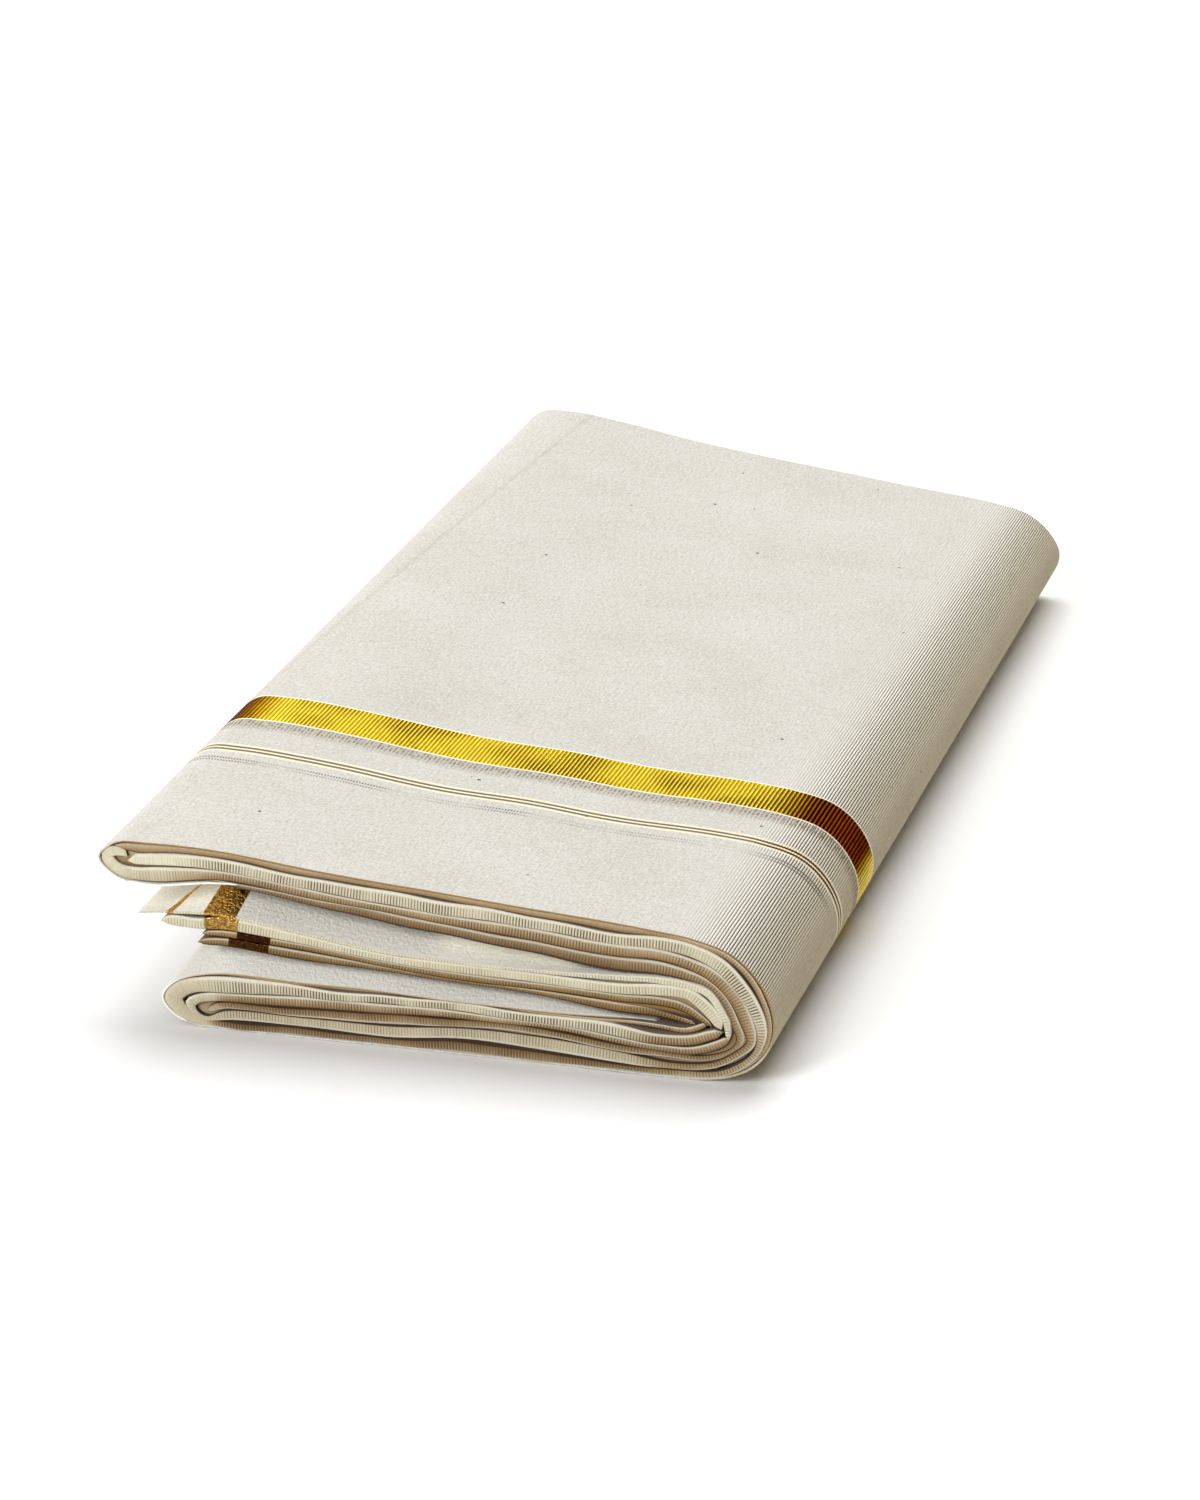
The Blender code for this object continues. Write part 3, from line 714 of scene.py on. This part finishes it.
# Each strip's way, as knots of x, z, wall, tan (how much painted warm, dim
# shade its face takes, from 0 to 1) and ribs (how far they show): its runs
# between creases, and its bends at the left curls and round the right turn,
# pinched at the heel.
SECOND_PLY = np.vstack([
    bend(0.6, 0.0, (0.3, 35.2, 0.7), (1.3, 36.0, 0.9), (3.5, 36.5, 1.5), (7.5, 36.5, 2.1),
         (13.0, 36.8, 1.7)),
    run("under the cover", "upper 1", 0.65, 0.0),
    bend(0.55, 0.5, (112.0, 29.2, 1.3), (118.7, 28.1, 1.2), (125.6, 25.8, 1.2), (131.0, 20.6, 1.3),
         (133.9, 13.8, 1.2), (133.4, 8.6, 1.0), (130.4, 4.6, 0.9), (125.6, 1.8, 0.8), (119.0, 0.8, 0.6))])
OUTER_STRIP = np.vstack([
    bend(0.0, 0.2, (4.4, 33.7, 1.5), (6.4, 34.2, 2.2), (9.5, 34.5, 2.4), (14.0, 34.7, 2.5)),
    run("upper 1", "upper 2", 0.08, 1.0),
    bend(0.1, 1.0, (112.0, 27.4, 2.8), (118.4, 26.5, 2.8), (124.6, 24.0, 3.1), (129.4, 19.0, 2.9),
         (132.4, 12.0, 2.4)),
    bend(0.4, 0.7, (132.2, 8.4, 1.7), (130.6, 5.4, 1.5), (125.4, 2.2, 1.5), (118.0, 1.0, 1.6)),
    run("lower 5", "floor", 0.8, 1.0)[::-1],
    bend(0.2, 0.1, (19.5, 1.0, 1.6), (16.4, 1.8, 2.8), (13.5, 4.0, 4.3), (12.95, 5.5, 4.4),
         (13.8, 6.9, 4.1), (17.0, 8.5, 3.4)),
    run("lower 1", "lower 2", 0.08, 1.0),
    bend(0.5, 1.0, (112.0, 7.7, 2.4), (118.4, 8.0, 2.3), (122.4, 9.5, 2.2), (124.9, 10.5, 1.7))])
MIDDLE_STRIP = np.vstack([
    bend(0.1, 0.0, (4.4, 34.6, 1.2), (3.2, 35.4, 1.9), (0.8, 35.3, 2.4), (0.1, 34.4, 2.7),
         (0.9, 32.6, 3.0), (2.6, 31.5, 3.0)),
    bend(0.2, 0.3, (6.0, 31.1, 2.9), (11.0, 31.3, 3.3)),
    run("upper 2", "upper 3", 0.55, 0.9),
    bend(0.5, 0.8, (112.0, 25.0, 2.4), (118.0, 23.9, 2.5), (122.8, 21.8, 2.9), (127.0, 17.6, 3.2),
         (129.4, 12.6, 3.0), (130.3, 9.8, 2.4), (130.1, 8.4, 2.0), (128.9, 7.0, 1.7),
         (123.4, 3.4, 1.5), (116.0, 2.3, 1.6)),
    run("lower 4", "lower 5", 0.2, 0.6)[::-1],
    bend(0.2, 0.2, (20.2, 1.8, 1.3), (18.2, 2.2, 1.6), (16.7, 3.5, 2.4), (16.7, 4.6, 2.4),
         (18.1, 5.6, 2.0), (20.8, 6.3, 2.0)),
    run("lower 2", "lower 3", 0.48, 0.9),
    bend(0.6, 0.8, (112.0, 5.8, 1.4), (119.0, 5.7, 1.7), (124.2, 7.6, 1.9), (126.4, 9.4, 1.2))])
INNER_STRIP = np.vstack([
    bend(0.9, 0.6, (19.5, 31.2, 0.2)),
    run("upper 3", "upper packet's underside", 0.95, 0.8),
    bend(0.7, 0.8, (112.0, 22.2, 2.9), (117.2, 21.4, 2.4), (121.5, 19.8, 2.1), (124.9, 16.6, 2.2),
         (126.8, 12.8, 2.3), (128.2, 9.4, 1.8), (127.0, 6.9, 1.4), (121.0, 4.4, 1.3),
         (113.0, 4.4, 1.5)),
    run("lower 3", "lower 4", 0.72, 0.9)[::-1],
    bend(0.4, 0.2, (21.8, 4.3, 1.6), (19.6, 3.2, 1.4))])
TOP_PLY_UNDER = np.vstack([
    bend(0.5, 0.0, (11.6, 6.0, 0.35), (12.9, 7.9, 0.35), (16.6, 10.2, 0.4), (20.0, 11.2, 0.4)),
    run("lower packet's top", "lower 1", 0.5, 0.1),
    bend(0.6, 0.6, (112.0, 9.9, 0.9), (117.4, 9.8, 1.2), (120.4, 11.0, 1.2), (122.0, 12.0, 0.7))])

# Layers behind the others, which fill the creases between the strips and
# between the loose plies so that no daylight shows through the pile.
HIDDEN_LAYERS = np.vstack([
    bend(0.7, 0.0, (0.6, 34.0, 3.0), (4.5, 33.9, 4.8), (12.0, 33.9, 5.0)),
    run("upper 1", "upper packet's underside", 0.7, 0.0, thinner=0.4),
    bend(0.8, 0.0, (112.0, 25.0, 7.4), (118.4, 23.8, 7.6), (124.4, 20.2, 7.4), (128.4, 14.6, 6.4),
         (128.8, 9.6, 6.0), (125.6, 6.2, 5.8), (119.0, 4.8, 6.4), (112.0, 4.6, 7.2)),
    run("lower 1", "floor", 0.7, 0.0, thinner=1.0)[::-1],
    bend(0.7, 0.0, (19.0, 5.2, 6.0), (15.6, 5.6, 4.4))])
HIDDEN_PLIES = bend(0.8, 0.0, (98.0, 16.6, 5.2), (104.0, 16.0, 6.8), (112.0, 16.0, 7.6),
                    (118.0, 15.3, 7.8), (122.0, 14.2, 6.6), (125.4, 12.0, 4.2))

# name, way, set back from the cover's edge
STRIPS = (
    ("strip_hidden_layers", HIDDEN_LAYERS, 1.0),
    ("strip_hidden_plies", HIDDEN_PLIES, 0.8),
    ("strip_second_ply", SECOND_PLY, 0.35),
    ("strip_outer", OUTER_STRIP, 0.0),
    ("strip_middle", MIDDLE_STRIP, 0.25),
    ("strip_inner", INNER_STRIP, 0.55),
    ("strip_under_top_ply", TOP_PLY_UNDER, 0.5),
)


def guide(first, last):
    """x, front z and back z of the cover's rows from one name to another,
    in order of x."""
    names = [row[0] for row in COVER_ROUTE]
    rows = np.array([row[1:] for row in COVER_ROUTE[names.index(first):names.index(last) + 1]])
    rows = rows[np.argsort(rows[:, 0])]
    return rows[:, 0], rows[:, 1], rows[:, 3]


GUIDES = (guide("lower tip", "end below the plies"), guide("end on the plies", "upper tip"),
          guide("upper tip", "nose"))


def towards_back(knots):
    """The knots at the back edge: heights move as the cover's do, straight
    from the floor to the lower packet's top, on to the upper packet's
    underside, and on to the top; walls shrink with them."""
    moved = np.array(knots, float)
    for row in moved:
        levels = [(0.0, 0.0)] + [(np.interp(row[0], x, front), np.interp(row[0], x, back))
                                 for x, front, back in GUIDES]
        fronts, backs = np.array(levels).T
        share = np.interp(row[1], np.maximum.accumulate(fronts), backs) / row[1]
        row[1:3] *= share
    return moved


# Folded cotton seen on its pressed edge, in the lighter cotton that is
# painted light: a pale rounded lip with a painted highlight, then fine ribs
# where the wefts spread round the fold, with painted shade in their grooves,
# then a face painted tan and dim as shade towards the crease below, where the
# shade is painted dark.  The ribs are real at 0.52 mm and drawn a little
# wider.
FOLD_RIB_PITCH = 0.62
FOLD_RIB_WAVER = 2.0
FOLD_RIB_RELIEF = 0.14
# Painted shade and highlight of the folds' edges: the face's shade, tan and brown below, the lip's
# highlight, the grooves' and the crease's dark.
FOLD_FACE = "dad6c4"
FOLD_TAN = "8e6c3a"
FOLD_BROWN = "6a4f2c"
FOLD_GROOVE = "5a4428"
FOLD_CREASE = "3a2204"
FOLD_LIP = "dcd8c8"
COTTON_SHEEN = 0.10


def pressed_edge(tree, place, u, colour, threads):
    """Colour and height on a fold's edge, from the attributes across (1 at
    its upper side, -1 at its lower one), tan and ribs.  Below across 0.99 the
    cotton is multiplied by the face's painted shade; tan paints warm shade on
    the face, tan up to 0.5 and on to brown at 1, the more the lower it lies.  A
    painted highlight lies on the lip between 0.6 and 0.95, the ribs between 0.6
    and -0.95 in patches with painted shade in their grooves, brown painted
    shade in the recess under the strip above from 0.93 up, and dark painted
    shade where across - 0.35 tan is below -0.84, so that it is wider on a tan
    face."""
    across, tan, strength = (node(tree, "Attribute", attribute_name=mark)["Fac"]
                             for mark in ("across", "tan", "ribs"))
    face = node(tree, "MapRange", [(0, across)], in_1=0.99, in_2=0.9)[0]
    colour = node(tree, "Mix", [("Factor", face), (6, colour)], data_type="RGBA",
                  blend_type="MULTIPLY", in_7=linear(FOLD_FACE))[2]
    lower = node(tree, "MapRange", [(0, across)], in_1=0.7, in_2=-0.6, in_3=0.45)[0]
    to_tan = node(tree, "MapRange", [(0, tan)], in_2=0.5)[0]
    to_brown = node(tree, "MapRange", [(0, tan)], in_1=0.5)[0]
    pale = node(tree, "MapRange", [(0, tan)], in_2=0.8, in_3=0.85, in_4=0.4)[0]
    ribbed = node(tree, "MapRange", [(0, strength)], in_2=0.3)[0]
    lip = stripe(tree, across, 0.78, 0.34, 0.12)
    ribs = ribs_along(tree, u, place, FOLD_RIB_PITCH, FOLD_RIB_WAVER)
    groove = node(tree, "MapRange", [(0, ribs)], in_1=0.5, in_2=0.15)[0]
    patches = node(tree, "TexNoise", [("Vector", place)], in_Scale=0.09, in_Detail=2.0)[0]
    patches = node(tree, "MapRange", [(0, patches)], in_1=0.36, in_2=0.56, in_3=0.35)[0]
    below_lip = node(tree, "MapRange", [(0, across)], in_1=0.62, in_2=0.35)[0]
    shown = node(tree, "MapRange", [(0, across)], in_1=-0.95, in_2=-0.75)[0]
    for mask in (below_lip, patches, strength):
        shown = node(tree, "Math", [(0, shown), (1, mask)], operation="MULTIPLY")[0]
    seated = node(tree, "MapRange", [(0, tan)], in_2=0.08, in_4=0.85)[0]
    recess = node(tree, "MapRange", [(0, across)], in_1=0.93, in_2=0.97)[0]
    lowered = node(tree, "Math", [(0, tan), (2, across)], operation="MULTIPLY_ADD", in_1=-0.35)[0]
    crease = node(tree, "MapRange", [(0, lowered)], in_1=-0.84, in_2=-0.98)[0]
    colour = laid_over(tree, colour, (FOLD_TAN, lower, to_tan), (FOLD_BROWN, lower, to_brown),
                       (FOLD_LIP, lip, pale, ribbed), (FOLD_GROOVE, groove, shown),
                       (FOLD_BROWN, recess, seated), (FOLD_CREASE, crease))
    rib_height = node(tree, "Math", [(0, ribs), (1, shown)], operation="MULTIPLY")[0]
    rib_height = node(tree, "Math", [(0, rib_height)], operation="MULTIPLY", in_1=FOLD_RIB_RELIEF)[0]
    height = node(tree, "Math", [(0, threads), (2, rib_height)], operation="MULTIPLY_ADD",
                  in_1=THREAD_RELIEF)[0]
    return colour, height


folded_cotton, tree, shader = new_material("woven_cotton_pressed_folds")
place = node(tree, "UVMap", uv_map="cloth")[0]
u = node(tree, "SeparateXYZ", [(0, place)])[0]
colour, threads = cotton_ground(tree, place, FRESH_DULL, FRESH_LIGHT)
colour, height = pressed_edge(tree, place, u, colour, threads)
bump = node(tree, "Bump", [("Height", height)], in_Distance=MM, in_Strength=1.0)[0]
tree.links.new(colour, shader.inputs["Base Color"])
tree.links.new(bump, shader.inputs["Normal"])
shader.inputs["Roughness"].default_value = COTTON_ROUGHNESS
shader.inputs["Sheen Weight"].default_value = COTTON_SHEEN

FOLD_SPACING = 1.6
FOLD_BEND_SPACING = 2.2
FOLD_SIDE_STEPS = 3
FOLD_EDGE_STEPS = 18
FOLD_ROUNDING = 0.7
FOLD_SQUARENESS = 0.65
FOLD_WAVES = (0.35, 0.2)
FOLD_SEED = 20
SEEDS_EACH = 3
for number, (name, way, inset) in enumerate(STRIPS):
    points = fold_points(way, towards_back(way), None, inset=inset, rounding=FOLD_ROUNDING,
                         spacing=FOLD_SPACING, bend_spacing=FOLD_BEND_SPACING,
                         side_steps=FOLD_SIDE_STEPS, edge_steps=FOLD_EDGE_STEPS,
                         squareness=FOLD_SQUARENESS, waves=FOLD_WAVES,
                         seed=FOLD_SEED + SEEDS_EACH * number)
    tan, ribs = np.moveaxis(points["extra"], -1, 0)
    strip = tube_object(name, points, tan=tan, ribs=ribs)
    strip.data.materials.append(folded_cotton)
    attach(strip, "root")
    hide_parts("folded_core")


# The cloth's end: four plies that stick out between the two packets, with
# the gold bands woven across the end and, on the first, a narrow gold line.
# Each is the same cotton, so thin that its tip comes to a sharp edge.
# A ply without a narrow line has it before its tip, where there is no cloth.
NO_LINE = -10.0
# node, its knots of x, z and wall, set back, tan (how much painted shade it
# takes), ribs, start of the band from the tip, its width, how far it slants to
# the right per depth, the narrow line's middle from the tip, how far its gold
# is darkened
LOOSE_PLIES = (
    ("loose_end_first", ((6.0, 23.0, 0.5), (9.5, 23.5, 0.5), (14.0, 23.7, 0.55), (24.0, 24.1, 0.6),
                         (40.0, 22.1, 0.6), (56.0, 19.9, 0.65), (72.0, 19.25, 0.7), (88.0, 19.2, 0.8),
                         (104.0, 19.5, 1.2), (112.0, 19.8, 1.4), (117.2, 19.5, 1.5), (121.2, 18.6, 1.6),
                         (122.6, 17.6, 1.6), (125.2, 13.4, 1.5), (125.6, 12.4, 1.5), (126.0, 8.8, 1.0)),
     0.0, 0.0, 0.5, 13.8, 6.8, 0.2, 6.8, 0.1),
    ("loose_end_second", ((10.9, 21.8, 1.0), (13.0, 22.0, 2.2), (19.0, 21.9, 2.3), (24.0, 22.4, 2.8),
                          (40.0, 20.7, 2.1), (56.0, 18.8, 1.6), (72.0, 18.0, 2.0), (88.0, 17.7, 2.1),
                          (104.0, 17.3, 2.3), (112.0, 17.8, 2.5), (117.6, 17.6, 2.4),
                          (119.2, 16.9, 2.6), (122.6, 14.0, 2.7), (124.6, 11.0, 1.8)),
     0.1, 0.06, 0.5, 9.1, 7.0, 0.0, NO_LINE, 0.35),
    ("loose_end_third", ((19.4, 19.8, 0.9), (24.0, 20.1, 1.4), (40.0, 18.9, 1.4), (56.0, 17.3, 1.3),
                         (72.0, 16.1, 1.7), (88.0, 15.9, 1.5), (104.0, 15.2, 1.7), (112.0, 15.4, 1.9),
                         (117.0, 14.6, 1.9), (122.6, 11.3, 1.0)),
     0.4, 0.78, 0.8, 7.2, 6.9, 0.0, NO_LINE, 0.98),
    ("loose_end_fourth", ((18.3, 17.8, 0.7), (20.0, 18.0, 1.4), (24.0, 18.2, 1.7), (40.0, 17.0, 2.0),
                          (56.0, 16.0, 1.1), (72.0, 15.1, 0.8), (88.0, 14.5, 1.1), (104.0, 13.1, 2.2),
                          (112.0, 12.9, 2.0), (119.4, 11.2, 0.8)),
     0.7, 0.9, 0.8, 6.4, 8.3, 0.0, NO_LINE, 0.96),
)
LINE_WIDTH = 1.3

# Cotton with brocade: flat gold thread floats over it in short flakes, about
# 0.7 mm long, raised a little, whose glints are painted on as lighter gold
# among darker; it is darkened to dark brown by a share given for each ply.
FLAKES_PER_METRE = (1400.0, 1400.0, 2600.0)
BROCADE_DARK = "a8763c"
BROCADE_LIGHT = "ecbe64"
BROCADE_EDGE = (1.0, 0.80, 0.45, 1.0)
BROCADE_RELIEF = 0.15
# Dark brown that a ply's gold is darkened towards, by its share.
TARNISH = "2e1208"

banded_cotton, tree, shader = new_material("woven_cotton_with_zari_end")
place = node(tree, "UVMap", uv_map="cloth")[0]
u = node(tree, "SeparateXYZ", [(0, place)])[0]
# The plies' ground is the lighter cotton, painted light.
colour, threads = cotton_ground(tree, place, FRESH_DULL, FRESH_LIGHT)
colour, height = pressed_edge(tree, place, u, colour, threads)
band, line, tarnish = (node(tree, "Attribute", attribute_name=mark)["Fac"]
                       for mark in ("band", "line", "tarnish"))
band = stripe(tree, band, 0.5, 1.0, 0.03)
line = stripe(tree, line, 0.0, LINE_WIDTH, LINE_SOFTNESS)
gold = node(tree, "Math", [(0, band), (1, line)], operation="MAXIMUM")[0]
spot = node(tree, "VectorMath", [(0, node(tree, "TexCoord")["Object"])], operation="MULTIPLY",
            in_1=FLAKES_PER_METRE)[0]
flakes = node(tree, "TexNoise", [("Vector", spot)], in_Scale=1.0, in_Detail=3.0)[0]
flakes = node(tree, "MapRange", [(0, flakes)], in_1=0.40, in_2=0.58)[0]
brocade = node(tree, "Mix", [("Factor", flakes)], data_type="RGBA",
               in_6=linear(BROCADE_DARK), in_7=linear(BROCADE_LIGHT))[2]
brocade = laid_over(tree, brocade, (TARNISH, tarnish))
colour = node(tree, "Mix", [("Factor", gold), (6, colour), (7, brocade)], data_type="RGBA")[2]
roughness = node(tree, "MapRange", [(0, gold)], in_3=COTTON_ROUGHNESS, in_4=ZARI_ROUGHNESS)[0]
raised = node(tree, "Math", [(0, flakes), (1, gold)], operation="MULTIPLY")[0]
height = node(tree, "Math", [(0, raised), (2, height)], operation="MULTIPLY_ADD", in_1=BROCADE_RELIEF)[0]
bump = node(tree, "Bump", [("Height", height)], in_Distance=MM, in_Strength=1.0)[0]
for socket, output in (("Base Color", colour), ("Metallic", gold), ("Roughness", roughness),
                       ("Normal", bump)):
    tree.links.new(output, shader.inputs[socket])
shader.inputs["Specular Tint"].default_value = BROCADE_EDGE

LOOSE_SPACING = 1.2
LOOSE_SIDE_STEPS = 40
LOOSE_WAVES = (0.2, 0.06)
LOOSE_SEED = 60
SLANT_DEPTH = 20.0
# x, how far the first ply swells up there, under the upper packet
FIRST_SWELL = (
    (12.0, 0.0), (16.0, 1.5), (24.0, 4.8), (40.0, 5.0), (56.0, 4.9), (72.0, 4.1),
    (88.0, 2.3), (104.0, 0.2), (112.0, 0.0),
)
for number, (name, way, inset, tan, ribs, *marks) in enumerate(LOOSE_PLIES):
    band_start, band_width, slant, line_at, tarnish = marks
    points = fold_points(way, towards_back(way), None, inset=inset, rounding=FOLD_ROUNDING,
                         spacing=LOOSE_SPACING, bend_spacing=FOLD_BEND_SPACING,
                         side_steps=LOOSE_SIDE_STEPS, edge_steps=FOLD_EDGE_STEPS,
                         squareness=FOLD_SQUARENESS, waves=LOOSE_WAVES,
                         seed=LOOSE_SEED + SEEDS_EACH * number,
                         swell=FIRST_SWELL if name == "loose_end_first" else ())
    from_tip = points["along"] - slant * points["y"].clip(0, SLANT_DEPTH)
    ply = tube_object(name.replace("end", "ply"), points, tan=tan, ribs=ribs, tarnish=tarnish,
                      band=(from_tip - band_start) / band_width, line=from_tip - line_at)
    ply.data.materials.append(banded_cotton)
    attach(ply, "root")
    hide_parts(name)
